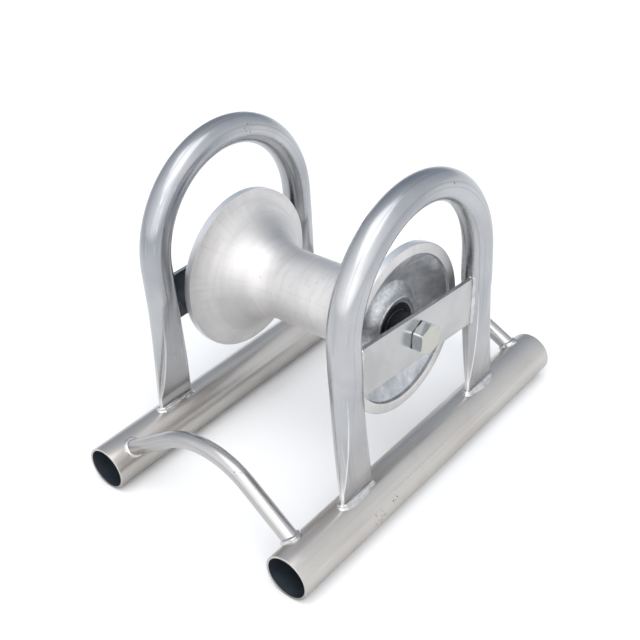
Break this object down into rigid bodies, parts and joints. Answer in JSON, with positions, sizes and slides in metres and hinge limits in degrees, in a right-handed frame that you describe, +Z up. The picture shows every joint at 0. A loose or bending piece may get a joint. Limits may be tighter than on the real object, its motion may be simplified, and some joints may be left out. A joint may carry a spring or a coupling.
{
  "type": "cable_roller",
  "caption": "Straight ground roller for cable pulling: an aluminium drum on sealed ball bearings between two bent tube hoops on a welded skid frame.",
  "frame": {"origin": "on the ground under the middle of the base tubes", "axes": "+X along the base tubes, the way the cable travels, +Y along the axle from the bolt head to the nut, +Z up"},
  "size_m": [0.355, 0.246, 0.279],
  "materials": {
    "frame_aluminium": "bright drawn and welded aluminium tube, satin, with fine scratches",
    "weld_bead": "rippled aluminium weld",
    "drum_aluminium": "turned cast aluminium with a soft sheen",
    "zinc_steel": "zinc plated steel",
    "bright_steel": "ground and turned steel",
    "bearing_steel": "polished bearing steel",
    "black_steel": "blackened steel",
    "seal_rubber": "black nitrile rubber",
    "cage_plastic": "moulded polyamide"
  },
  "bodies": {
    "root": {"base_tube_right": "frame_aluminium", "hoop_right": "frame_aluminium", "crossbar_right": "frame_aluminium", "foot_welds_right": "weld_bead", "crossbar_welds_right": "weld_bead", "bearing_inner_ring_right": "bearing_steel", "spacer_collar_right": "black_steel", "base_tube_left": "frame_aluminium", "hoop_left": "frame_aluminium", "crossbar_left": "frame_aluminium", "foot_welds_left": "weld_bead", "crossbar_welds_left": "weld_bead", "bearing_inner_ring_left": "bearing_steel", "spacer_collar_left": "black_steel", "cross_tube_front": "frame_aluminium", "cross_tube_welds_front": "weld_bead", "cross_tube_rear": "frame_aluminium", "cross_tube_welds_rear": "weld_bead", "axle_bolt": "zinc_steel", "axle_nut": "zinc_steel", "spring_washer": "zinc_steel", "axle_sleeve": "bright_steel", "inner_spacer": "bright_steel"},
    "roller": {"roller_drum": "drum_aluminium", "bearing_outer_ring_right": "bearing_steel", "bearing_seals_right": "seal_rubber", "bearing_outer_ring_left": "bearing_steel", "bearing_seals_left": "seal_rubber"},
    "balls_right": {"ball_set_right": "bearing_steel", "ball_cage_right": "cage_plastic"},
    "balls_left": {"ball_set_left": "bearing_steel", "ball_cage_left": "cage_plastic"}
  },
  "joints": [
    {"name": "roller_spin", "type": "hinge", "parent": "root", "child": "roller", "pos_m": [-0.0032, 0, 0.142], "axis": [0, 1, 0], "continuous": true},
    {"name": "ball_orbit_right", "type": "hinge", "parent": "root", "child": "balls_right", "pos_m": [-0.0032, -0.073, 0.142], "axis": [0, 1, 0], "continuous": true},
    {"name": "ball_orbit_left", "type": "hinge", "parent": "root", "child": "balls_left", "pos_m": [-0.0032, 0.073, 0.142], "axis": [0, 1, 0], "continuous": true}
  ],
  "couplings": [
    {"joint": "ball_orbit_right", "follows": "roller_spin", "ratio": 0.6185},
    {"joint": "ball_orbit_left", "follows": "roller_spin", "ratio": 0.6185}
  ]
}
